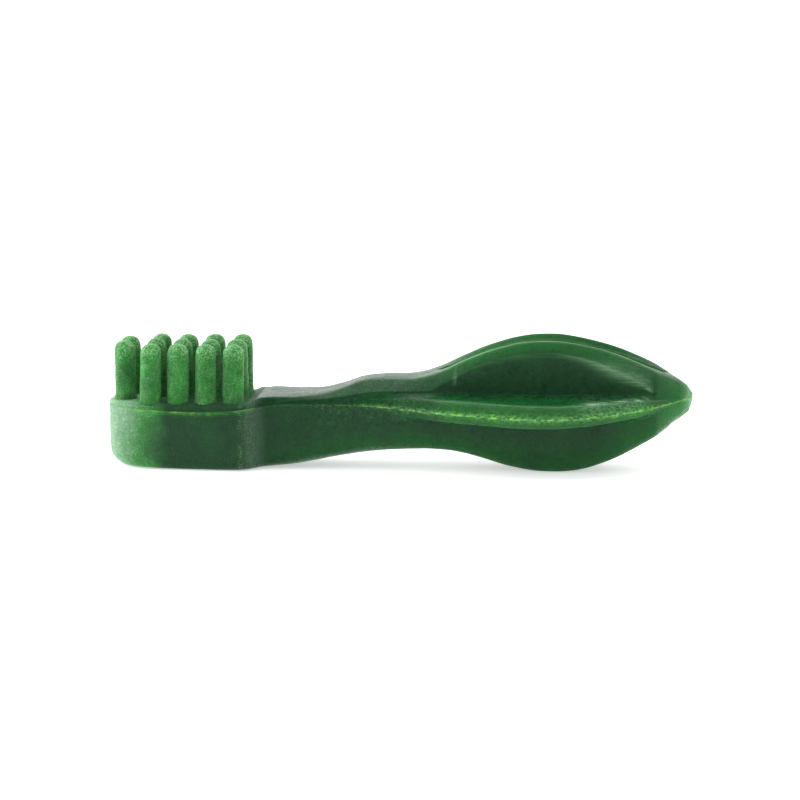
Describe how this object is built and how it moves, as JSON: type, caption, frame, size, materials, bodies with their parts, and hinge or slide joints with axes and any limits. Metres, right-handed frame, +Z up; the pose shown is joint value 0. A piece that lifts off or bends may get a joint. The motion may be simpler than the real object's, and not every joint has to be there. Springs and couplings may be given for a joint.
{
  "type": "toothbrush-shaped dental chew",
  "caption": "Pet dental chew shaped like a toothbrush: a head with stub bristles, a slim neck and a leaf-shaped handle with wings and paired ridges.",
  "frame": {"origin": "middle of the footprint box, on the surface the chew lies on", "axes": "+X from the head's free end to the handle's tip, +Z up, the way the bristles point"},
  "size_m": [0.1, 0.0306, 0.0226],
  "materials": {
    "head_chew": "frosted, finely streaked",
    "bristle_chew": "frosted, paler and fibrous at the tips",
    "handle_chew": "satin, waxy, slightly translucent"
  },
  "bodies": {
    "root": {"head": "head_chew", "neck": "handle_chew", "handle_core": "handle_chew", "left_wing": "handle_chew", "right_wing": "handle_chew", "upper_left_ridge": "handle_chew", "upper_right_ridge": "handle_chew", "lower_left_ridge": "handle_chew", "lower_right_ridge": "handle_chew", "tip": "handle_chew", "bristle_1_left": "bristle_chew", "bristle_1_right": "bristle_chew", "bristle_2_left": "bristle_chew", "bristle_2_middle": "bristle_chew", "bristle_2_right": "bristle_chew", "bristle_3_left": "bristle_chew", "bristle_3_middle": "bristle_chew", "bristle_3_right": "bristle_chew", "bristle_4_left": "bristle_chew", "bristle_4_middle": "bristle_chew", "bristle_4_right": "bristle_chew", "bristle_5_left": "bristle_chew", "bristle_5_middle": "bristle_chew", "bristle_5_right": "bristle_chew"}
  },
  "joints": []
}
